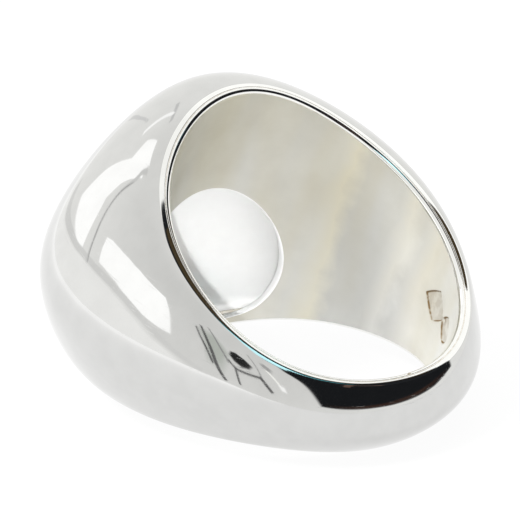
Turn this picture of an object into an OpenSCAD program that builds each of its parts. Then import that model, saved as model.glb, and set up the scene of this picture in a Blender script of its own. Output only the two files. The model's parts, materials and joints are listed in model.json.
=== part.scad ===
// Hollow domed signet ring lying on one side of its band, as it rests on a table.
// The finger hole is a true cylinder. Its axis leans back by the angle at which the ring rests.
// In the ring's own frame the hole runs along Z, the head points along -Y and X runs across.
// An angle t round the ring is 0 at the middle of the head and 180 at the back of the band.

/* [Finger hole] */
// Radius of the finger hole, US size 9
bore_r = 9.5; // [8:0.25:11]
// Thickness of the inner liner sleeve
liner_t = 0.3; // [0.2:0.05:0.35]

/* [Width along the finger] */
// Width at the middle of the head
head_w = 19.2; // [16:0.2:22]
// Width at the shoulder, 45 degrees round
shoulder_w = 15.4; // [12:0.2:17]
// Width at the side, 90 degrees round
side_w = 10; // [8:0.2:12]
// Width of the lower band, 135 degrees round
lower_w = 5.8; // [5:0.2:8]
// Width at the back of the band
back_w = 5.2; // [4:0.2:7]

/* [Height above the finger hole] */
// Height at the middle of the head
head_h = 5.3; // [4:0.1:7]
// Height at the shoulder, 45 degrees round
shoulder_h = 6; // [4.5:0.1:7]
// Height at the side, 90 degrees round
side_h = 3.6; // [2.5:0.1:4.5]
// Height of the lower band, 135 degrees round
lower_h = 2.1; // [1.5:0.1:2.5]
// Height at the back of the band
back_h = 2; // [1.2:0.1:2.5]
// Thickness left at both rims
rim_t = 0.5; // [0.5:0.05:0.9]

/* [Roundness of the cross-section] */
// Sharpness of the crown across the head: 0 is a parabola, below 0 flatter, above 0 more pointed
head_peak = -0.5; // [-0.8:0.1:1]
// Sharpness of the crown at the side, 90 degrees round
side_peak = 2.1; // [-0.5:0.1:2.5]
// Sharpness of the crown at the back of the band
back_peak = 0.4; // [-0.5:0.1:1]
// Steepness at the rims of the head: 1 is a slope, 2 a quarter round
head_rise = 2; // [1.2:0.1:2.5]
// Steepness at the rims of the side
side_rise = 2.4; // [1:0.1:2.5]
// Steepness at the rims of the back of the band
back_rise = 1.2; // [1:0.1:2]

/* [Hollow head] */
// Thickness of the shell over the hollow
wall_t = 1; // [0.8:0.1:1.4]
// Thickness of the shell beside the hollow, at the rims
side_wall_t = 1.5; // [1.2:0.1:2]
// Angle from the middle of the head to each end of the hollow
hollow_end = 78; // [60:2:84]

/* [Window in the liner] */
// Radius of the window
window_r = 6.4; // [5:0.1:7]
// Distance of its centre from mid-width, towards the rim that the ring lies on
window_shift = 4.2; // [0:0.1:4.5]
// Radius of the flatter arc that keeps the window clear of that rim
arch_r = 11; // [10:0.2:14]
// Strip of liner left there between the window and the rim
window_strip = 0.6; // [0.4:0.1:1.5]

/* [Solder] */
// Thickness of the solder between shell and liner
solder_t = 0.08; // [0.05:0.01:0.12]
// How far the solder runs in from each rim
solder_run = 1; // [0.6:0.1:1.2]
// Width of the soldered joint that closes the liner
joint_w = 0.3; // [0.2:0.05:0.5]

/* [Hidden] */
$fn = 180;

// Smoothness of the faceted shell
ring_step = 6;
hollow_step = 6;
section_steps = 14;
hollow_section_steps = 8;

rim_r = bore_r + rim_t;
band_r = bore_r + 2 * rim_t;
liner_r = bore_r + liner_t;
shell_r = liner_r + solder_t;
core_r = bore_r - 1.5;
hollow_core_r = bore_r - 0.8;
dip_r = bore_r;
joint_core_r = bore_r - 0.5;
reach = 2 * (bore_r + head_h);

// Smooth closed curve through evenly spaced stations from the head to the back: a cosine
// series, the same on both sides of the ring
function end_share(j, last) = (j == 0 || j == last) ? 0.5 : 1;
function wave(stations, last, k) = 2 / last * end_share(k, last) *
    [for (j = [0 : last]) end_share(j, last) * cos(180 * k * j / last)] * stations;
function series(stations) =
    let (last = len(stations) - 1)
    [for (k = [0 : last]) wave(stations, last, k)];
function along(waves, t) = waves * [for (k = [0 : len(waves) - 1]) cos(k * t)];

width_waves = series([head_w, shoulder_w, side_w, lower_w, back_w] / 2);
height_waves = series([head_h, shoulder_h, side_h, lower_h, back_h]);
peak_waves = series([head_peak, side_peak, back_peak]);
rise_waves = series([head_rise, side_rise, back_rise]);
function half_w(t) = along(width_waves, t);

// Crown of a cross-section: 1 at mid-width (u = 0), 0 at the rims (u = -1 and 1)
function crown(t, u) = pow(
    max(0, 1 - u * u) / (1 + along(peak_waves, t) * u * u),
    1 / along(rise_waves, t));
function outer_r(t, u) = rim_r + (along(height_waves, t) - rim_t) * crown(t, u);

// The hollow follows the outside a wall's thickness in, and fades out towards its two ends,
// where its skin dips behind the liner so that the two surfaces cross cleanly
function fade(t) = sqrt(max(0, cos(90 * t / hollow_end)));
function hollow_r(t, u) = dip_r + (outer_r(t, u) - wall_t - dip_r) * fade(t);

// Steps across a section, closer together near the rims
function across(steps) = [for (i = [0 : steps]) sin(-90 + 180 * i / steps)];
function place(r, t, z) = [r * sin(t), -r * cos(t), z];

// Closed sections in the plane at angle t, as points [radius, height]
function ring_section(t) = concat(
    [[core_r, -half_w(t)]],
    [for (u = across(section_steps)) [outer_r(t, u), half_w(t) * u]],
    [[core_r, half_w(t)]]);
function hollow_section(t) = concat(
    [[hollow_core_r, side_wall_t - half_w(t)]],
    [for (u = across(hollow_section_steps)) [hollow_r(t, u), (half_w(t) - side_wall_t) * u]],
    [[hollow_core_r, half_w(t) - side_wall_t]]);
function band_section(t, low, high) = [[core_r, low], [band_r, low], [band_r, high], [core_r, high]];

// Skin through sections at the given angles: a closed loop, or a length with two flat ends
module skin(angles, sections, closed) {
    n = len(sections[0]);
    m = len(angles);
    spans = closed ? m : m - 1;
    points = [for (i = [0 : m - 1]) for (p = sections[i]) place(p.x, angles[i], p.y)];
    sides = [for (i = [0 : spans - 1]) for (j = [0 : n - 1])
        let (a = i * n + j, b = i * n + (j + 1) % n)
        let (c = ((i + 1) % m) * n + (j + 1) % n, d = ((i + 1) % m) * n + j)
        each [[a, b, c], [a, c, d]]];
    ends = closed ? [] : [
        [for (j = [n - 1 : -1 : 0]) j],
        [for (j = [0 : n - 1]) (m - 1) * n + j]];
    polyhedron(points, concat(sides, ends), convexity = 8);
}

ring_angles = [for (t = [0 : ring_step : 359]) t];
hollow_angles = [for (t = [-hollow_end : hollow_step : hollow_end]) t];

// Whole outside of the ring, filled in to well inside the finger hole
module ring_blank() {
    skin(ring_angles, [for (t = ring_angles) ring_section(t)], true);
}

module hollow() {
    skin(hollow_angles, [for (t = hollow_angles) hollow_section(t)], false);
}

// Plain band with the rims' outline, thicker than the liner
module band_blank() {
    skin(ring_angles, [for (t = ring_angles) band_section(t, -half_w(t), half_w(t))], true);
}

// Part of that band beside one rim: side is 1 for the upper rim, -1 for the rim on the table
module rim_blank(side) {
    skin(ring_angles, [for (t = ring_angles)
        let (edge = side * half_w(t), inner = side * (half_w(t) - solder_run))
        band_section(t, min(edge, inner), max(edge, inner))], true);
}

// Upright on the finger hole's axis: a solid plug, and a sleeve between two radii
module plug(r) {
    cylinder(h = reach, r = r, center = true);
}
module sleeve(inner_r, outer_r) {
    difference() {
        plug(outer_r);
        plug(inner_r);
    }
}

// Strip across the back of the liner where its two ends meet
module joint_strip() {
    translate([-joint_w / 2, joint_core_r, -back_w])
        cube([joint_w, liner_r + solder_t - joint_core_r, 2 * back_w]);
}

// Lies across the ring, pointing at the head, with its centre at height z
module cross_plug(r, z) {
    translate([0, 0, z])
        rotate([90, 0, 0])
            cylinder(h = reach, r = r);
}

// Opening into the hollow: round, but flatter beside the rim that the ring lies on
module window() {
    intersection() {
        cross_plug(window_r, -window_shift);
        cross_plug(arch_r, arch_r + window_strip - head_w / 2);
    }
}

// Lays the ring down on the table. It touches with the liner's edge under the head
// and with the shell's edge at the back of the band.
lay_tilt = atan((head_w - back_w) / 2 / (bore_r + rim_r));
lift = cos(lay_tilt) * head_w / 2 - sin(lay_tilt) * bore_r;
function laid_y(t, u) = -outer_r(t, u) * cos(t) * cos(lay_tilt) + half_w(t) * u * sin(lay_tilt);
front_y = min([for (u = across(section_steps)) laid_y(0, u)]);
back_y = max([for (u = across(section_steps)) laid_y(180, u)]);
module lay_down() {
    translate([0, -(front_y + back_y) / 2, lift])
        rotate([-lay_tilt, 0, 0])
            children();
}

// Domed head, shoulders and band in one piece, hollow behind the head
module outer_shell() {
    color([0.86, 0.86, 0.85])
        lay_down()
            difference() {
                ring_blank();
                plug(shell_r);
                hollow();
            }
}

// Sleeve against the finger, with the window behind the head
module inner_liner() {
    color([0.79, 0.78, 0.74])
        lay_down()
            difference() {
                intersection() {
                    sleeve(bore_r, liner_r);
                    band_blank();
                }
                window();
                joint_strip();
            }
}

// Solder between shell and liner round one rim
module rim_solder(side) {
    color([0.7, 0.69, 0.66])
        lay_down()
            intersection() {
                sleeve(liner_r, shell_r);
                rim_blank(side);
            }
}
module upper_rim_solder() {
    rim_solder(1);
}
module lower_rim_solder() {
    rim_solder(-1);
}

// Solder that closes the liner at the back of the band
module liner_joint_solder() {
    color([0.72, 0.68, 0.6])
        lay_down()
            intersection() {
                sleeve(bore_r, liner_r);
                band_blank();
                joint_strip();
            }
}

outer_shell();
inner_liner();
upper_rim_solder();
lower_rim_solder();
liner_joint_solder();
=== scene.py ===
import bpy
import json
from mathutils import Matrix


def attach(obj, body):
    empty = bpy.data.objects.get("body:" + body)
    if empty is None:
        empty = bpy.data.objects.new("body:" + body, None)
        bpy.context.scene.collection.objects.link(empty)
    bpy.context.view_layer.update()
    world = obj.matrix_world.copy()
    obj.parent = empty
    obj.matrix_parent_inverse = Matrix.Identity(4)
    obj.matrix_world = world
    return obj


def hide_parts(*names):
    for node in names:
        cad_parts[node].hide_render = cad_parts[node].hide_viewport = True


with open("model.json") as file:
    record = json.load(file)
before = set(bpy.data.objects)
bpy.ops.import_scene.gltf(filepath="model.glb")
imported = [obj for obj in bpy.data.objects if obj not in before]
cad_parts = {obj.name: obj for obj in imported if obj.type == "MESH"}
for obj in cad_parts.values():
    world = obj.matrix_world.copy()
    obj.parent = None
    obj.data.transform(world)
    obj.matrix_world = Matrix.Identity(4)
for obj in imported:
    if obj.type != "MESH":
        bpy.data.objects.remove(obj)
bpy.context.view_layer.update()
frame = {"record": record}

import math

import bmesh
import bpy
import numpy as np
from mathutils import Matrix, Vector

# Lengths are in millimetres until a mesh is made, and angles in degrees unless a name says otherwise.
# In the ring's own frame the finger hole runs along Z and the head points along -Y. An angle t
# round the ring is 0 at the middle of the head and 180 at the back of the band.
MM = 0.001
BORE = frame["record"]["mounts"][0]
BORE_R = BORE["dims"]["r_mm"]
BORE_CENTRE = Vector(BORE["pos_m"])
LAY_TILT = math.atan2(BORE["axis"][1], BORE["axis"][2])
PLACEMENT = Matrix.Translation(BORE_CENTRE) @ Matrix.Rotation(-LAY_TILT, 4, "X")

# The same sizes as the CAD: at 0, 45, 90, 135 and 180 degrees, or at 0, 90 and 180
WIDTHS = [19.2, 15.4, 10, 5.8, 5.2]
HEIGHTS = [5.3, 6, 3.6, 2.1, 2]
PEAKS = [-0.5, 2.1, 0.4]
RISES = [2, 2.4, 1.2]
RIM_R = BORE_R + 0.5
LINER_R = BORE_R + 0.3
SHELL_R = LINER_R + 0.08
SOLDER_RUN = 1.0
WALL = 1.0
SIDE_WALL = 1.5
HOLLOW_END = 78
WINDOW_R = 6.4
WINDOW_Z = -4.2
ARCH_R = 11.0
ARCH_Z = ARCH_R + 0.6 - WIDTHS[0] / 2
JOINT_HALF = math.degrees(0.15 / BORE_R)

# Shell, solder and liner share one rounded, polished lip at each rim
LIP_TOP_R = BORE_R + 0.25
LIP_DROP = 0.25
LIP_START = 0.2
SEAM_DEPTH = 0.004
WINDOW_EDGE = 0.07

# Faces that meet the solder start this far below the rim
RIM_INSET = 0.1

# Fineness of the meshes
SHELL_ANGLES = 390
SHELL_OUTSIDE = 161
SHELL_INSIDE = 65
SHELL_RIM = 12
LIP_STEPS = 40
SEAM_ANGLES = 720
JOINT_ANGLES = 7
JOINT_ROWS = 60


# ---------------------------------------------------------------- shape of the ring

def series(stations):
    """Cosine series through evenly spaced stations from the head to the back."""
    last = len(stations) - 1
    share = [0.5 if j in (0, last) else 1.0 for j in range(last + 1)]
    return [
        2 / last * share[k] * sum(
            share[j] * stations[j] * math.cos(math.pi * k * j / last) for j in range(last + 1))
        for k in range(last + 1)]


def along(waves, t):
    return sum(w * np.cos(k * np.radians(t)) for k, w in enumerate(waves))


WIDTH_WAVES = series([w / 2 for w in WIDTHS])
HEIGHT_WAVES = series(HEIGHTS)
PEAK_WAVES = series(PEAKS)
RISE_WAVES = series(RISES)


def half_width(t):
    return along(WIDTH_WAVES, t)


def outer_radius(t, u):
    """Radius of the outside at angle t, and at u from -1 to 1 across the width."""
    base = np.clip(1 - u * u, 0, None) / (1 + along(PEAK_WAVES, t) * u * u)
    return RIM_R + (along(HEIGHT_WAVES, t) - RIM_R + BORE_R) * base ** (1 / along(RISE_WAVES, t))


def inner_radius(t, z):
    """Radius of the shell's inside: a cylinder that swells smoothly into the hollow."""
    softness = 0.06
    fade = np.sqrt(np.clip(np.cos(np.radians(90 * t / HOLLOW_END)), 0, None))
    fade = np.where(np.abs(t) < HOLLOW_END, fade, 0)
    u = np.clip(z / (half_width(t) - SIDE_WALL), -1, 1)
    swell = (outer_radius(t, u) - WALL - BORE_R) * fade - (SHELL_R - BORE_R)
    return SHELL_R + 0.5 * (swell + np.sqrt(swell * swell + softness * softness))


def fillet(start, corner, end, steps):
    """Points between start and end, rounding the corner. Each is an array of points."""
    return [
        (1 - s) ** 2 * start + 2 * s * (1 - s) * corner + s * s * end
        for s in np.linspace(0, 1, steps + 1)[1:-1]]


def pair(r, z):
    r, z = np.broadcast_arrays(r, z)
    return np.stack([r, z], -1).astype(float)


# ---------------------------------------------------------------- meshes

def place(angles, sections):
    """Points in metres from sections of [r, z] in millimetres, one section per angle."""
    t = np.radians(np.asarray(angles))[:, None]
    r, z = sections[..., 0] * MM, sections[..., 1] * MM
    return np.stack([r * np.sin(t), -r * np.cos(t), z], -1)


def grid_faces(m, n, closed_round, skip=None):
    """Quads between m sections of n points each, every section a closed loop."""
    faces, segments = [], []
    for i in range(m if closed_round else m - 1):
        for j in range(n):
            if skip is not None and skip(i, j):
                continue
            k, l = (i + 1) % m, (j + 1) % n
            faces.append((i * n + j, i * n + l, k * n + l, k * n + j))
            segments.append(j)
    return faces, segments


def add_object(name, data):
    piece = bpy.data.objects.new(name, data)
    bpy.context.scene.collection.objects.link(piece)
    return piece


def make_piece(name, points, faces, slots, materials, wear=None):
    """A smooth-shaded piece of the ring, made in the ring's own frame and laid down with it."""
    mesh = bpy.data.meshes.new(name)
    mesh.from_pydata([tuple(p) for p in points], [], faces)
    mesh.transform(PLACEMENT)
    for material in materials:
        mesh.materials.append(material)
    mesh.polygons.foreach_set("material_index", slots)
    mesh.polygons.foreach_set("use_smooth", [True] * len(faces))
    if wear is not None:
        mesh.attributes.new("wear", "FLOAT", "POINT").data.foreach_set("value", wear)
    shape = bmesh.new()
    shape.from_mesh(mesh)
    bmesh.ops.recalc_face_normals(shape, faces=shape.faces)
    shape.to_mesh(mesh)
    shape.free()
    return add_object(name, mesh)


def lip_start(angles):
    """Where the rounding of the rims starts on each section, as an angle across the crown."""
    fine = np.linspace(60, 90, 600)[None]
    r = outer_radius(angles[:, None], np.sin(np.radians(fine)))
    z = half_width(angles)[:, None] * np.sin(np.radians(fine))
    step = np.hypot(np.diff(r, axis=1), np.diff(z, axis=1))
    to_rim = np.concatenate([np.cumsum(step[:, ::-1], 1)[:, ::-1], np.zeros((len(angles), 1))], 1)
    return np.array([np.interp(-LIP_START, -row, fine[0]) for row in to_rim])


def lip(angles, start):
    """The lip of each section, from the crown over its top and down to the finger hole."""
    short = 0.001
    half = half_width(angles)[:, None]
    u = np.sin(np.radians(start))[:, None]
    r0, z0 = outer_radius(angles[:, None], u), half * u
    slope = (r0 - outer_radius(angles[:, None], u - short)) / (short * half)
    corner = np.clip(r0 + slope * (half - z0), LIP_TOP_R + 0.02, None)
    s = np.linspace(0, 1, LIP_STEPS)[None]
    r = (1 - s) ** 2 * r0 + 2 * s * (1 - s) * corner + s * s * LIP_TOP_R
    z = (1 - s) ** 2 * z0 + 2 * s * (1 - s) * half + s * s * half
    a = np.radians(np.linspace(0, 90, LIP_STEPS))[None, 1:]
    inner_r = LIP_TOP_R - (LIP_TOP_R - BORE_R) * np.sin(a) + 0 * half
    inner_z = half - LIP_DROP * (1 - np.cos(a))
    return np.concatenate([r, inner_r], 1), np.concatenate([z, inner_z], 1)


def lip_points(outline, radii, side, sunk=0.0):
    """Points of the lip at those radii, one array of [r, z] for each of them."""
    made = []
    for r in radii:
        r = np.broadcast_to(r, (len(outline[0]),))
        z = np.array([np.interp(-at, -row_r, row_z) for at, row_r, row_z in zip(r, *outline)])
        made.append(pair(r, side * (z - sunk)))
    return made


def shell_sections(angles):
    """Closed sections of the outer shell, with the wear at each point of a section and the
    material of each strip between points: 0 is the outside, 1 the inside and 2 the rims."""
    worn_from = 0.93
    half = half_width(angles)
    start = lip_start(angles)
    across = np.linspace(-1, 1, SHELL_OUTSIDE)[None] * start[:, None]
    u = np.sin(np.radians(across))
    outside = pair(outer_radius(angles[:, None], u), half[:, None] * u)
    down = np.sin(np.radians(np.linspace(90, -90, SHELL_INSIDE)))
    inside_z = down[None] * (half - RIM_INSET)[:, None]
    inside = pair(inner_radius(angles[:, None], inside_z), inside_z)
    outline = lip(angles, start)
    first_r = outside[:, -1, 0]

    def rim(side):
        radii = [first_r + s * (SHELL_R - first_r) for s in np.linspace(0, 1, SHELL_RIM)[1:]]
        return lip_points(outline, radii, side) + lip_points(outline, [SHELL_R], side, SEAM_DEPTH)

    upper, lower = rim(1), rim(-1)[::-1]
    columns = [outside[:, j] for j in range(SHELL_OUTSIDE)] + upper
    columns += [inside[:, j] for j in range(SHELL_INSIDE)] + lower
    from_middle = np.abs(np.linspace(-1, 1, SHELL_OUTSIDE))
    near_rim = np.clip((from_middle - worn_from) / (1 - worn_from), 0, 1) ** 2
    rim_worn = np.ones(len(upper))
    wear_and_painted_reflection = np.concatenate([near_rim, rim_worn, np.zeros(SHELL_INSIDE), rim_worn])
    rim_slots = [2] * len(upper)
    slots = [0] * (SHELL_OUTSIDE - 1) + rim_slots + [1] * (SHELL_INSIDE + 1) + rim_slots
    return np.stack(columns, 1), wear_and_painted_reflection, slots


def outer_shell(polished, hollow, edge):
    angles = np.arange(SHELL_ANGLES) * 360 / SHELL_ANGLES
    angles = np.where(angles > 180, angles - 360, angles)
    sections, wear_and_painted_reflection, slot_of = shell_sections(angles)
    m, n = sections.shape[:2]
    faces, segments = grid_faces(m, n, True)
    slots = [slot_of[j] for j in segments]
    points = place(angles, sections).reshape(-1, 3)
    materials = [polished, hollow, edge]
    return make_piece("domed_shell", points, faces, slots, materials, np.tile(wear_and_painted_reflection, m))


# ---------------------------------------------------------------- liner

# Angle to each side of the head that the finer mesh round the window reaches
WINDOW_SIDE = 55

# Two blank punches, a lozenge and an oval: angle, height, half sizes and roundness
MARKS = [
    (-109.5, 0.35, 1.45, 1.15, 1.15),
    (-123.0, 0.25, 1.05, 0.9, 1.5)]
MARK_DEPTH = 0.12
MARK_WALL = 0.14
MARK_BEAD = 0.012

# Part of the liner with a finer mesh for the marks: angles, and shares of its half width
MARKS_FROM, MARKS_TO = -131, -100
MARKS_LOW, MARKS_HIGH = -0.3, 0.46


def mark_relief(t, z):
    """Depth of the punched marks: a flat floor, and metal pushed up round it."""
    depth = np.zeros(np.broadcast(t, z).shape)
    for at, height, half_t, half_z, power in MARKS:
        x = np.radians(t - at) * BORE_R / half_t
        y = (z - height) / half_z
        d = (np.abs(x) ** power + np.abs(y) ** power) ** (1 / power)
        wall = np.clip((1.0 - d) / MARK_WALL, 0, 1)
        depth += MARK_DEPTH * (3 * wall ** 2 - 2 * wall ** 3)
        depth -= MARK_BEAD * np.exp(-((d - 1.12) / 0.1) ** 2)
    return depth


def liner_angles():
    coarse = np.arange(-179, 180, 1.0)
    fine = np.arange(MARKS_FROM, MARKS_TO, 0.3)
    ends = [JOINT_HALF - 180, 180 - JOINT_HALF]
    kept = coarse[(coarse < MARKS_FROM) | (coarse >= MARKS_TO)]
    return np.unique(np.round(np.concatenate([kept, fine, ends]), 4))


def liner_rows():
    gap = 0.02
    fine = np.linspace(MARKS_LOW, MARKS_HIGH, 62)
    below = np.linspace(-1, MARKS_LOW - gap, 22)
    above = np.linspace(MARKS_HIGH + gap, 1, 20)
    return np.concatenate([below, fine, above])


def liner_sections(angles, rows):
    """Closed sections of the liner, and how many points each of their two rims has."""
    half = half_width(angles)
    inner_z = rows[None] * (half - LIP_DROP)[:, None]
    inner_r = BORE_R + mark_relief(angles[:, None], inner_z)
    outer_z = rows[None, ::-1] * (half - RIM_INSET)[:, None]
    outline = lip(angles, lip_start(angles))
    turns = np.radians(np.linspace(90, 0, 14)[1:])
    radii = [*(LIP_TOP_R - (LIP_TOP_R - BORE_R) * np.sin(turns)), LIP_TOP_R + 0.02, LINER_R]

    def rim(side):
        return lip_points(outline, radii, side) + lip_points(outline, [LINER_R], side, SEAM_DEPTH)

    inside = pair(inner_r, inner_z)
    outside = pair(LINER_R, outer_z)
    upper, lower = rim(1), rim(-1)[::-1]
    columns = [inside[:, j] for j in range(len(rows))] + upper
    columns += [outside[:, j] for j in range(len(rows))] + lower
    return np.stack(columns, 1), len(upper)


def window_reach(dz):
    """Distance from the window's centre to its edge in a direction that rises by dz."""
    gap = WINDOW_Z - ARCH_Z
    arch = -dz * gap + np.sqrt(dz * dz * gap * gap - gap * gap + ARCH_R * ARCH_R)
    sharp = 24
    return (WINDOW_R ** -sharp + arch ** -sharp) ** (-1 / sharp)


def window_patch(points, loop, radius, grow, rings):
    """Rings of new points from a loop of the grid in to the window, on a cylinder of that radius."""
    x, z = points[loop, 0] / MM, points[loop, 2] / MM
    dx, dz = x, z - WINDOW_Z
    far = np.hypot(dx, dz)
    reach = window_reach(dz / far) + grow
    made = []
    for s in rings:
        share = (1 - s) + s * reach / far
        px, pz = dx * share, WINDOW_Z + dz * share
        py = -np.sqrt(radius * radius - px * px)
        made.append(np.stack([px, py, pz], -1) * MM)
    return made


def bridge(faces, slots, first, second, slot):
    """Adds a strip of faces between two loops of as many points."""
    n = len(first)
    for k in range(n):
        l = (k + 1) % n
        faces.append((first[k], first[l], second[l], second[k]))
        slots.append(slot)


def inner_liner(satin, polished, sawn):
    angles, rows = liner_angles(), liner_rows()
    sections, n_rim = liner_sections(angles, rows)
    m, n = sections.shape[:2]
    n_rows = len(rows)
    left = int(np.argmin(np.abs(angles + WINDOW_SIDE)))
    right = int(np.argmin(np.abs(angles - WINDOW_SIDE)))
    outer_first = n_rows + n_rim

    def in_window_block(i, j):
        inside = j < n_rows - 1
        outside = outer_first <= j < outer_first + n_rows - 1
        return left <= i < right and (inside or outside)

    faces, segments = grid_faces(m, n, False, in_window_block)
    on_rim = set(range(n_rows - 1, outer_first)) | set(range(outer_first + n_rows - 1, n))
    slots = [1 if j in on_rim else 0 for j in segments]
    for i in (0, m - 1):
        faces.append(tuple(i * n + j for j in range(n)))
        slots.append(0)
    points = place(angles, sections).reshape(-1, 3)

    def block_loop(first):
        """Indices round the window's block, the same way round whichever surface it is on."""
        low, high = (0, n_rows - 1) if first == 0 else (first + n_rows - 1, first)
        step = 1 if high > low else -1
        top = [i * n + high for i in range(left, right)]
        down = [right * n + j for j in range(high, low, -step)]
        bottom = [i * n + low for i in range(right, left, -1)]
        up = [left * n + j for j in range(low, high, step)]
        return top + down + bottom + up

    rings = 1 - (1 - np.linspace(0, 1, 13)[1:]) ** 1.3
    ends = []
    for first, radius in ((0, BORE_R), (outer_first, LINER_R)):
        loop = block_loop(first)
        made = window_patch(points, loop, radius, WINDOW_EDGE, rings)
        for ring in made:
            new = list(range(len(points), len(points) + len(ring)))
            points = np.concatenate([points, ring])
            bridge(faces, slots, loop, new, 0)
            loop = new
        ends.append(loop)
    inner_end, outer_end = points[ends[0]], points[ends[1]]
    corner_in = window_patch(points, block_loop(0), BORE_R, 0, [1])[0]
    corner_out = window_patch(points, block_loop(outer_first), LINER_R, 0, [1])[0]
    thick = corner_out - corner_in
    share = WINDOW_EDGE * MM / np.linalg.norm(thick, axis=1, keepdims=True)
    wall_in, wall_out = corner_in + thick * share, corner_out - thick * share
    edge = [*fillet(inner_end, corner_in, wall_in, 4), wall_in, wall_out,
            *fillet(wall_out, corner_out, outer_end, 4)]
    loop = ends[0]
    for ring in edge:
        new = list(range(len(points), len(points) + len(ring)))
        points = np.concatenate([points, ring])
        bridge(faces, slots, loop, new, 2)
        loop = new
    bridge(faces, slots, loop, ends[1], 2)
    return make_piece("finger_liner", points, faces, slots, [satin, polished, sawn])


# ---------------------------------------------------------------- solder

def uneven(t, phase):
    """Small smooth irregularity of a hand-run seam, from -1 to 1."""
    a = np.radians(t)
    return (0.4 * np.sin(7 * a + phase) + 0.3 * np.sin(19 * a + 2 * phase)
            + 0.2 * np.sin(43 * a + 3 * phase) + 0.1 * np.sin(97 * a))


def rim_solder(name, side, material):
    """Solder between shell and liner round one rim: side is 1 for the upper rim, -1 for the lower."""
    angles = np.arange(SEAM_ANGLES) * 360 / SEAM_ANGLES
    half = half_width(angles)
    outline = lip(angles, lip_start(angles))
    sunk = 0.002 + 0.0015 * uneven(angles, side)
    radii = np.linspace(SHELL_R, LINER_R, 7)
    crown = lip_points(outline, radii, side, sunk)
    runs = np.linspace(0.2, SOLDER_RUN, 5)
    depth = [pair(LINER_R, side * (half - s)) for s in runs]
    back = [pair(SHELL_R, side * (half - s)) for s in runs[::-1]]
    sections = np.stack(crown + depth + back, 1)
    m, n = sections.shape[:2]
    faces, _ = grid_faces(m, n, True)
    points = place(angles, sections).reshape(-1, 3)
    return make_piece(name, points, faces, [0] * len(faces), [material])


def liner_joint(material):
    """Solder that fills the gap where the liner's ends meet, a little below their surface."""
    angles = 180 + np.linspace(-JOINT_HALF, JOINT_HALF, JOINT_ANGLES)
    rows = np.linspace(-1, 1, JOINT_ROWS)
    half = half_width(angles)
    hollow = 0.03 * (1 - np.linspace(-1, 1, JOINT_ANGLES) ** 2)
    ripple = 1 + 0.4 * uneven(rows * 90, 1.0)
    inner_z = rows[None] * (half - LIP_DROP)[:, None]
    inner = pair(BORE_R + 0.015 + hollow[:, None] * ripple[None], inner_z)
    outer = pair(LINER_R, rows[None, ::-1] * (half - RIM_INSET)[:, None])
    rims = [pair(BORE_R + 0.12, half - 0.05), pair(LINER_R - 0.05, half - 0.02)]
    feet = [pair(LINER_R - 0.05, 0.02 - half), pair(BORE_R + 0.12, 0.05 - half)]
    columns = [inner[:, j] for j in range(JOINT_ROWS)] + rims
    columns += [outer[:, j] for j in range(JOINT_ROWS)] + feet
    sections = np.stack(columns, 1)
    m, n = sections.shape[:2]
    faces, _ = grid_faces(m, n, False)
    faces += [tuple(i * n + j for j in range(n)) for i in (0, m - 1)]
    points = place(angles, sections).reshape(-1, 3)
    return make_piece("liner_joint", points, faces, [0] * len(faces), [material])


# ---------------------------------------------------------------- materials

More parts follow.
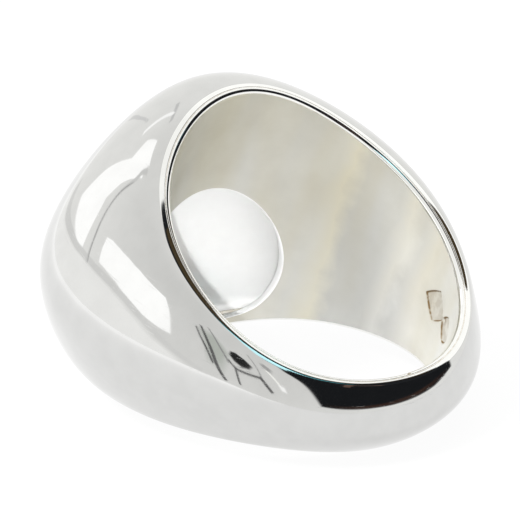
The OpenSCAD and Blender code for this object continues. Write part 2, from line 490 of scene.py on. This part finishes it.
class Graph:
    """Adds shader nodes with few words: a socket as an input is linked, anything else is set."""

    def __init__(self, material):
        material.use_nodes = True
        self.tree = material.node_tree
        self.tree.nodes.clear()

    def add(self, kind, inputs=None, **settings):
        node = self.tree.nodes.new(kind)
        for key, value in settings.items():
            setattr(node, key, value)
        for key, value in (inputs or {}).items():
            if isinstance(value, bpy.types.NodeSocket):
                self.tree.links.new(value, node.inputs[key])
            else:
                node.inputs[key].default_value = value
        return node

    def math(self, operation, *values):
        return self.add("ShaderNodeMath", dict(enumerate(values)), operation=operation).outputs[0]

    def ring_coordinates(self):
        """A point in the ring's own frame in millimetres, its arc length and its height."""
        laid = self.add("ShaderNodeTexCoord").outputs["Object"]
        stood = PLACEMENT.inverted()
        point = self.add("ShaderNodeMapping", {
            "Vector": laid, "Location": stood.translation / MM, "Rotation": stood.to_euler(),
            "Scale": (1 / MM,) * 3}).outputs[0]
        axes = self.add("ShaderNodeSeparateXYZ", {"Vector": point})
        x, y, z = axes.outputs
        angle = self.math("ARCTAN2", x, self.math("MULTIPLY", y, -1.0))
        arc = self.math("MULTIPLY", angle, BORE_R)
        return point, arc, z

    def stretched_noise(self, arc, z, along_arc, along_z, detail=2.0, offset=0.0):
        vector = self.add("ShaderNodeCombineXYZ", {
            "X": self.math("MULTIPLY", arc, along_arc),
            "Y": self.math("MULTIPLY", z, along_z),
            "Z": offset}).outputs[0]
        noise = self.add("ShaderNodeTexNoise", {"Vector": vector, "Scale": 1.0, "Detail": detail})
        return noise.outputs["Fac"]

    def noise(self, point, scale, detail=3.0):
        return self.add("ShaderNodeTexNoise", {
            "Vector": point, "Scale": scale, "Detail": detail}).outputs["Fac"]

    def remap(self, value, low, high, to_low, to_high):
        return self.add("ShaderNodeMapRange", {
            "Value": value, "From Min": low, "From Max": high,
            "To Min": to_low, "To Max": to_high}).outputs[0]

    def colours(self, value, *stops):
        ramp = self.add("ShaderNodeValToRGB", {"Fac": value})
        band = ramp.color_ramp
        while len(band.elements) < len(stops):
            band.elements.new(0.5)
        for element, (at, colour) in zip(band.elements, stops):
            element.position = at
            element.color = (*colour, 1)
        return ramp.outputs["Color"]

    def mix(self, share, first, second, blend="MIX"):
        inputs = {0: share, 6: first, 7: second}
        node = self.add("ShaderNodeMix", inputs, data_type="RGBA", blend_type=blend)
        return node.outputs[2]

    def bump(self, height, depth_mm, below=None):
        inputs = {"Height": height, "Strength": 1.0, "Distance": depth_mm * MM}
        if below is not None:
            inputs["Normal"] = below
        return self.add("ShaderNodeBump", inputs).outputs["Normal"]

    def metal(self, colour, roughness, normal, metallic=1.0):
        shader = self.add("ShaderNodeBsdfPrincipled", {
            "Base Color": colour, "Roughness": roughness, "Normal": normal, "Metallic": metallic})
        self.add("ShaderNodeOutputMaterial", {"Surface": shader.outputs["BSDF"]})


def polished_silver(name, tone, low_rough, high_rough, metallic=1.0):
    """Buffed silver: nearly a mirror, with faint waviness, haze and hairline scratches."""
    material = bpy.data.materials.new(name)
    g = Graph(material)
    point, arc, z = g.ring_coordinates()
    haze = g.noise(point, 0.45, 4)
    hairs = g.remap(g.stretched_noise(arc, z, 0.7, 26, 3), 0.66, 0.74, 0, 1)
    cross = g.remap(g.stretched_noise(arc, z, 17, 0.9, 3, 4.0), 0.70, 0.78, 0, 1)
    scratches = g.math("MAXIMUM", hairs, cross)
    wear = g.add("ShaderNodeAttribute", attribute_name="wear").outputs["Fac"]
    rough = g.remap(haze, 0.3, 0.7, low_rough, high_rough)
    rough = g.math("ADD", rough, g.math("MULTIPLY", scratches, 0.05))
    rough = g.math("ADD", rough, g.math("MULTIPLY", wear, 0.015))
    dark = tuple(c * 0.965 for c in tone)
    colour = g.colours(g.noise(point, 0.8, 2), (0.35, dark), (0.65, tone))
    waves = g.bump(g.noise(point, 0.22, 1), 0.012)
    fine = g.bump(scratches, 0.0004, waves)
    g.metal(colour, rough, fine, metallic)
    return material


def satin_silver():
    """Liner: brushed round the finger, warm with light tarnish, duller in the punched marks, with
    painted sheen in bands along the finger and painted reflection bands at fixed angles round the ring.
    """
    material = bpy.data.materials.new("satin_silver")
    g = Graph(material)
    point, arc, z = g.ring_coordinates()
    brushed = g.stretched_noise(arc, z, 0.35, 22, 4)
    fine = g.stretched_noise(arc, z, 1.2, 60, 3, 7.0)
    streaks = g.stretched_noise(arc, z, 0.26, 0.05, 2, 2.0)
    cloud = g.noise(point, 0.3, 4)
    radius = g.math("SQRT", g.math("ADD", *[
        g.math("MULTIPLY", s, s)
        for s in g.add("ShaderNodeSeparateXYZ", {"Vector": point}).outputs[:2]]))
    sunk = g.remap(radius, BORE_R + 0.01, BORE_R + MARK_DEPTH, 0, 1)
    inner_side = g.remap(radius, BORE_R + 0.2, BORE_R + 0.25, 1, 0)
    tarnish = g.math("MULTIPLY", sunk, inner_side)
    walls = g.math("MULTIPLY", tarnish, g.math("SUBTRACT", 1.0, tarnish))
    tarnish = g.math("ADD", g.math("MULTIPLY", tarnish, 0.3), g.math("MULTIPLY", walls, 5.0))
    tarnish = g.math("MULTIPLY", tarnish, g.remap(g.noise(point, 1.6, 3), 0.38, 0.55, 0.25, 1))
    tarnish = g.math("MINIMUM", tarnish, 1.0)
    warm = g.colours(cloud, (0.3, (0.60, 0.57, 0.485)), (0.7, (0.66, 0.645, 0.58)))
    cool = g.colours(cloud, (0.3, (0.60, 0.60, 0.585)), (0.7, (0.70, 0.695, 0.67)))
    # Painted sheen: the warm and cool tones alternate in soft bands along the finger, standing in for
    # the streaky reflections of the brushing
    sheen_bands = g.remap(streaks, 0.34, 0.64, 0, 1)
    # Painted reflection: lighter and darker bands at fixed angles round the ring, multiplied into the
    # colour, stand in for blurred reflections in the satin metal
    angle = g.math("DIVIDE", arc, math.radians(BORE_R))
    drift = g.remap(cloud, 0, 1, -9, 9)
    share = g.remap(g.math("ADD", angle, drift), -110, -30, 0, 1)
    wear_and_painted_reflection = g.colours(
        share, (0.0, (0.98, 0.98, 0.97)), (0.16, (1.07, 1.06, 1.03)), (0.26, (0.96, 0.96, 0.95)),
        (0.34, (1.10, 1.10, 1.09)), (0.42, (0.93, 0.94, 0.95)), (0.60, (0.92, 0.93, 0.94)),
        (0.68, (1.10, 1.08, 0.99)), (0.78, (0.99, 0.985, 0.95)), (1.0, (0.97, 0.96, 0.92)))
    plain = g.mix(sheen_bands, warm, cool)
    plain = g.mix(1.0, plain, wear_and_painted_reflection, "MULTIPLY")
    colour = g.mix(tarnish, plain, (0.20, 0.13, 0.055, 1))
    rough = g.remap(brushed, 0.3, 0.7, 0.38, 0.5)
    rough = g.math("ADD", rough, g.math("MULTIPLY", streaks, -0.1))
    rough = g.math("ADD", rough, g.math("MULTIPLY", tarnish, 0.2))
    lower = g.bump(brushed, 0.0005)
    upper = g.bump(fine, 0.0001, lower)
    g.metal(colour, rough, upper, 0.6)
    return material


def solder_metal(name, dark, light, low_rough, high_rough):
    """Solder: duller than the silver, pitted, with oxide in it."""
    material = bpy.data.materials.new(name)
    g = Graph(material)
    point = g.ring_coordinates()[0]
    spots = g.noise(point, 3.0, 4)
    colour = g.colours(spots, (0.35, dark), (0.7, light))
    rough = g.remap(g.noise(point, 6.0, 2), 0.3, 0.7, low_rough, high_rough)
    g.metal(colour, rough, g.bump(spots, 0.01))
    return material


# ---------------------------------------------------------------- studio

STUDIO_R = 1.2


def direction(azimuth, elevation):
    a, e = math.radians(azimuth), math.radians(elevation)
    return Vector((math.sin(a) * math.cos(e), -math.cos(a) * math.cos(e), math.sin(e)))


def glow(name, colour, strength, soft=False):
    material = bpy.data.materials.new(name)
    g = Graph(material)
    light = g.add("ShaderNodeEmission", {"Color": (*colour, 1), "Strength": strength})
    surface = light.outputs[0]
    if soft:
        fade = g.add("ShaderNodeAttribute", attribute_name="fade").outputs["Fac"]
        clear = g.add("ShaderNodeBsdfTransparent").outputs[0]
        surface = g.add("ShaderNodeMixShader", {0: fade, 1: clear, 2: surface}).outputs[0]
    g.add("ShaderNodeOutputMaterial", {"Surface": surface})
    return material


def hide_from_camera(piece):
    piece.visible_camera = False
    piece.visible_shadow = False


def card(name, outline, colour, strength, soft=0.0, radius=STUDIO_R):
    """A light or dark card round the table, with corners given as azimuth and elevation. Its
    strength fades to nothing over its outermost soft share."""
    corners = np.array(outline, float)
    steps = 10
    edge = np.concatenate([
        a + (b - a) * np.linspace(0, 1, steps, endpoint=False)[:, None]
        for a, b in zip(corners, np.roll(corners, -1, 0))])
    middle = edge.mean(0)
    shares = [1.0, 1 - soft, 0.5 * (1 - soft)] if soft else [1.0, 0.5]
    fades = [0.0, 1.0, 1.0, 1.0] if soft else [1.0] * 3
    rings = [middle + (edge - middle) * s for s in shares]
    points, fade, faces = [], [], []
    n = len(edge)
    for ring, f in zip(rings, fades):
        points += [BORE_CENTRE + direction(*p) * radius for p in ring]
        fade += [f] * n
    points.append(BORE_CENTRE + direction(*middle) * radius)
    fade.append(1.0)
    for r in range(len(rings) - 1):
        faces += [(r * n + k, r * n + (k + 1) % n, (r + 1) * n + (k + 1) % n, (r + 1) * n + k)
                  for k in range(n)]
    base = (len(rings) - 1) * n
    faces += [(base + k, base + (k + 1) % n, len(points) - 1) for k in range(n)]
    mesh = bpy.data.meshes.new(name)
    mesh.from_pydata(points, [], faces)
    mesh.attributes.new("fade", "FLOAT", "POINT").data.foreach_set("value", fade)
    mesh.materials.append(glow(name, colour, strength, soft > 0))
    hide_from_camera(add_object(name, mesh))


def rod(name, line, half_width_deg, colour, radius=STUDIO_R * 0.97):
    """A thin bent rod through points given as azimuth and elevation."""
    curve = bpy.data.curves.new(name, "CURVE")
    curve.dimensions = "3D"
    curve.bevel_depth = math.radians(half_width_deg) * radius
    curve.bevel_resolution = 2
    spline = curve.splines.new("NURBS")
    spline.points.add(len(line) - 1)
    for point, where in zip(spline.points, line):
        point.co = (*(BORE_CENTRE + direction(*where) * radius), 1)
    spline.order_u = 3
    spline.use_endpoint_u = True
    curve.materials.append(glow(name, colour, 1.0))
    hide_from_camera(add_object(name, curve))


def studio_walls():
    """What the silver mirrors: a dark opening, softboxes, a screen, cables and a lamp stand."""
    card("dark_opening", [
        (166, 4.5), (164, 15), (162.5, 30), (168, 40), (177, 48), (190, 56), (205, 62),
        (225, 64), (240, 66), (254, 61), (260, 53), (260, 44), (252, 35), (250, 20), (250, 3),
        (235, 1.5), (205, 2), (185, 3.5)], (0.8, 0.87, 1.0), 0.016, 0.035)
    rod("opening_glass", [
        (167, 39), (176, 46), (190, 53), (205, 56), (218, 57), (230, 57)], 3.0,
        (0.07, 0.26, 0.30), STUDIO_R * 0.985)
    rod("opening_glint", [
        (168, 41), (176, 48), (186, 53), (198, 56.5), (206, 58)], 4.0, (0.85, 1.4, 1.5),
        STUDIO_R * 0.965)
    rod("opening_frame", [(189, 28), (195, 36), (203, 43), (209, 41), (210, 31)], 1.3,
        (0.16, 0.10, 0.08), STUDIO_R * 0.98)
    rod("opening_jamb", [(244, 60), (253, 54), (256, 46), (250, 38)], 3.5, (0.055, 0.04, 0.022),
        STUDIO_R * 0.99)
    card("brown_sill", [
        (168, 7.5), (185, 6.5), (205, 6), (235, 6), (248, 6), (248, 3), (205, 2.5), (185, 3),
        (168, 4.5)], (1.0, 0.55, 0.42), 0.05, 0.5, STUDIO_R * 0.99)
    card("tall_softbox", [
        (-16, 76), (-6, 83), (26, 75), (28, 66), (26.5, 57), (25, 45), (25.5, 33), (31, 26.5),
        (37, 21), (31, 18.6), (13, 15.3), (4, 14), (5.5, 25), (8.5, 36), (10.7, 45), (12, 57),
        (6, 66), (-4, 71)], (1, 1, 1), 1.5, 0.03)
    card("low_softbox", [
        (48, 32.4), (53, 34), (60, 34.6), (70, 34.6), (80, 33.2), (88, 30.8), (98, 27.5),
        (100, 22), (103, 12), (98, 13.4), (90, 16.6), (80, 21), (70, 24), (60, 25.2), (54, 25.2),
        (50, 29)], (1, 1, 1), 1.5, 0.02)
    card("white_screen", [
        (-45, -3), (-30, -1), (-15, 1), (0, 5.5), (10, 10), (20, 14), (30, 17), (40, 20),
        (50, 21.6), (60, 22), (70, 21.5), (80, 19), (90, 14.5), (100, 7), (108, 2), (112, -3)],
        (1, 1, 0.99), 1.2, 0.1, STUDIO_R * 1.02)
    grey = (0.84, 0.84, 0.83)
    rod("screen_edge", [
        (-10, 4), (0, 6.5), (10, 11), (20, 15), (30, 18), (40, 21), (50, 22.6), (60, 23), (70, 22.4),
        (80, 20), (90, 15.6), (100, 8.4), (108, 3.4), (114, 1)], 1.2, (0.93, 0.93, 0.92),
        STUDIO_R * 1.01)
    rod("cable", [
        (6, 82), (20, 73), (27, 67), (30, 57), (30, 45), (32, 37), (36, 31), (41, 27), (46, 21)],
        0.8, grey)
    rod("cable_core", [(29.5, 62), (30, 57), (30, 45), (32, 37), (36, 31), (42, 26), (47, 21)], 0.3,
        (0.5, 0.5, 0.5), STUDIO_R * 0.96)
    rod("strip_light", [(331, 64), (343, 56), (357, 47.5)], 1.3, (1.4, 1.4, 1.4))
    rod("cord_dark", [(329, 71), (331.5, 64), (331.5, 53)], 0.9, (0.78, 0.78, 0.78))
    rod("cord_grey", [(350, 40), (347, 28), (343, 17), (337, 5)], 0.6, (0.88, 0.88, 0.88))
    dark = (0.16, 0.16, 0.16)
    rod("stand_leg_left", [(113.5, 20), (114, 16), (116, 12), (119, 6.5)], 0.45, dark)
    rod("stand_leg_mid", [(117, 23), (117, 17), (119, 10), (121, 5), (123, 1)], 0.7, dark)
    rod("stand_leg_back", [(122.5, 26), (123, 18), (123.7, 13), (126, 9)], 0.5, (0.4, 0.4, 0.4))
    rod("stand_bar", [(126, 10), (128, 8), (131, 7.8), (136, 8.2), (140, 9)], 0.45, dark)
    rod("stand_foot", [(128.6, 8), (128.8, 5), (129, 2)], 0.5, dark)
    rod("stand_post", [(142, 24), (140.5, 17), (141, 9)], 0.4, (0.5, 0.5, 0.5))
    rod("stand_leg_right", [(140, 9.5), (142, 7.5), (144, 5)], 0.85, dark)
    card("stand_plate", [
        (126.8, 13), (128.8, 16), (132, 17.2), (136, 15.6), (138.8, 12.5), (136, 10), (132, 9.2),
        (128.4, 10.4)], (1, 1, 1), 0.03, 0.2, STUDIO_R * 0.95)
    card("grey_panel", [
        (144, 16), (146, 22), (150, 25), (152, 20), (149, 15)], (1, 1, 1), 0.5, 0.5,
        STUDIO_R * 0.96)
    card("stand_shade", [
        (113, 21), (124, 24), (129, 12), (123, 3), (116, 6)], (0.95, 1, 0.93), 0.68, 0.5,
        STUDIO_R * 1.01)
    rod("lamp_tube", [(145.5, 18.5), (147.5, 13.5), (150, 9)], 0.6, (1.35, 1.35, 1.3))
    card("bright_gap", [
        (148, 10.5), (152, 10.5), (152, 7.5), (149, 7.5)], (1, 1, 1), 1.4, 0.5,
        STUDIO_R * 0.96)


def studio_air():
    """Even pale walls and ceiling, greyer towards the back of the band."""
    world = bpy.data.worlds.new("studio")
    bpy.context.scene.world = world
    g = Graph(world)
    where = g.add("ShaderNodeTexCoord").outputs["Generated"]
    facing = g.add("ShaderNodeVectorMath", {0: where, 1: tuple(direction(135, 45))},
                   operation="DOT_PRODUCT").outputs["Value"]
    grey = g.remap(facing, 0.3, 0.95, 1.08, 0.89)
    light = g.add("ShaderNodeBackground", {"Color": (1, 1, 0.985, 1), "Strength": grey})
    g.add("ShaderNodeOutputWorld", {"Surface": light.outputs[0]})


def white_table():
    """Pale, lit softly from below, and a little brighter further off to one side."""
    material = bpy.data.materials.new("white_table")
    g = Graph(material)
    top = g.add("ShaderNodeBsdfDiffuse", {"Color": (0.04, 0.04, 0.04, 1)})
    where = g.add("ShaderNodeTexCoord").outputs["Object"]
    ahead = g.add("ShaderNodeVectorMath", {0: where, 1: tuple(direction(60, 0))},
                  operation="DOT_PRODUCT").outputs["Value"]
    strength = g.remap(ahead, 0.01, 0.13, 0.95, 1.2)
    under = g.add("ShaderNodeEmission", {"Color": (1, 1, 1, 1), "Strength": strength})
    both = g.add("ShaderNodeAddShader", {0: top.outputs[0], 1: under.outputs[0]})
    g.add("ShaderNodeOutputMaterial", {"Surface": both.outputs[0]})
    return material


def floor():
    """Plain round table top, in rings of faces that grow with distance."""
    steps = 96
    mesh = bpy.data.meshes.new("table_top")
    shape = bmesh.new()
    turns = [2 * math.pi * k / steps for k in range(steps)]
    loops = [
        [shape.verts.new((r * math.cos(a), r * math.sin(a), 0)) for a in turns]
        for r in (0.02, 0.05, 0.15, 0.5, 1.2, 3.0)]
    shape.faces.new(loops[0])
    for a, b in zip(loops, loops[1:]):
        for k in range(steps):
            shape.faces.new((a[k], b[k], b[(k + 1) % steps], a[(k + 1) % steps]))
    shape.to_mesh(mesh)
    shape.free()
    mesh.materials.append(white_table())
    add_object("table_top", mesh)


def aim(data, target, azimuth, elevation, distance):
    """Places a light round its target, and keeps its own shape out of the reflections."""
    piece = add_object(data.name, data)
    towards = direction(azimuth, elevation)
    piece.location = target + towards * distance
    piece.rotation_euler = towards.to_track_quat("Z", "Y").to_euler()
    piece.visible_glossy = False


def lamp(name, azimuth, elevation, distance, size, power):
    """A round soft light."""
    data = bpy.data.lights.new(name, "AREA")
    data.shape = "DISK"
    data.size = size
    data.energy = power
    aim(data, BORE_CENTRE, azimuth, elevation, distance)


def spot(name, target, azimuth, elevation, distance, reach, power):
    """A narrow beam that covers a circle of radius reach round the target."""
    data = bpy.data.lights.new(name, "SPOT")
    data.spot_size = 2 * math.atan(reach / distance)
    data.spot_blend = 0.25
    data.shadow_soft_size = 0.01
    data.energy = power
    aim(data, target, azimuth, elevation, distance)


def camera():
    """Long lens that looks through the finger hole from above the back of the band."""
    azimuth, elevation, roll = 136.48, 20.30, -2.52
    distance, across, down = 320 * MM, -1.99 * MM, -3.06 * MM
    data = bpy.data.cameras.new("camera")
    data.lens = 370.1
    data.sensor_width = 36
    data.clip_start, data.clip_end = 0.01, 10
    piece = add_object("camera", data)
    back = direction(azimuth, elevation)
    level = Vector((math.cos(math.radians(azimuth)), math.sin(math.radians(azimuth)), 0))
    below = level.cross(back)
    a = math.radians(roll)
    right = math.cos(a) * level + math.sin(a) * below
    under = math.cos(a) * below - math.sin(a) * level
    turn = Matrix((right, -under, back)).transposed().to_4x4()
    place_at = BORE_CENTRE + right * across + under * down + back * distance
    piece.matrix_world = Matrix.Translation(place_at) @ turn
    bpy.context.scene.camera = piece


# ---------------------------------------------------------------- the scene

def build_ring():
    shell_metal = polished_silver("polished_silver", (0.66, 0.66, 0.65), 0.03, 0.06)
    hollow_metal = polished_silver("hollow_silver", (0.98, 0.98, 0.98), 0.35, 0.5, 0.2)
    edge_metal = polished_silver("edge_silver", (0.93, 0.93, 0.91), 0.02, 0.05)
    seam_metal = solder_metal("seam_solder", (0.74, 0.70, 0.62), (0.90, 0.88, 0.84), 0.08, 0.16)
    joint_metal = solder_metal("joint_solder", (0.5, 0.44, 0.34), (0.72, 0.67, 0.56), 0.4, 0.65)
    pieces = [
        (outer_shell(shell_metal, hollow_metal, edge_metal), "outer_shell", "polished_silver"),
        (inner_liner(satin_silver(), edge_metal, hollow_metal), "inner_liner", "satin_silver"),
        (rim_solder("upper_seam", 1, seam_metal), "upper_rim_solder", "solder"),
        (rim_solder("lower_seam", -1, seam_metal), "lower_rim_solder", "solder"),
        (liner_joint(joint_metal), "liner_joint_solder", "solder")]
    for piece, node, slot in pieces:
        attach(piece, "root")
        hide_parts(node)


def main():
    bpy.context.scene.view_settings.view_transform = "Standard"
    build_ring()
    floor()
    studio_air()
    studio_walls()
    lamp("overhead", azimuth=330, elevation=70, distance=1.0, size=0.8, power=5.0)
    lamp("side_fill", azimuth=68, elevation=50, distance=1.0, size=0.4, power=20.0)
    window = PLACEMENT @ Vector((0, -BORE_R * MM, WINDOW_Z * MM))
    spot("window_beam", window, azimuth=137.5, elevation=17.5, distance=0.6, reach=6.6 * MM, power=23.0)
    camera()


main()
import json
